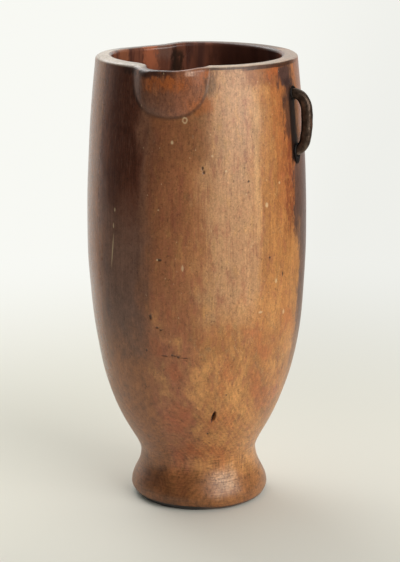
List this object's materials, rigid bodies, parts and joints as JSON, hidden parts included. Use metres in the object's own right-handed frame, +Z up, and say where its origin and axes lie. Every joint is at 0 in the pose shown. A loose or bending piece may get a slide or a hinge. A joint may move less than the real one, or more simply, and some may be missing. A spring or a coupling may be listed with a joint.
{
  "type": "milk vessel",
  "caption": "Tall footed milk vessel carved from one block of wood, with a raised pouring lip at the rim and an iron carrying loop on its side.",
  "frame": {"origin": "on the flat underside of the foot, on the upright axis of the bowl", "axes": "+Z up out of the mouth, +X towards the iron carrying loop, -Y close to the side that the pouring lip faces (the lip lies 79.6 degrees from the loop, seen from above)"},
  "size_m": [0.205, 0.1938, 0.4],
  "materials": {
    "carved_wood": "hand-carved hardwood rubbed with milk fat, honey brown with dark patina, semi-gloss",
    "forged_iron": "hammered bar iron, dark brown oxide polished by handling",
    "black_resin": "black resin pressed in warm, dull and slightly cracked"
  },
  "bodies": {
    "root": {"vessel_body": "carved_wood", "handle_staple": "forged_iron", "upper_packing": "black_resin", "lower_packing": "black_resin"}
  },
  "joints": []
}
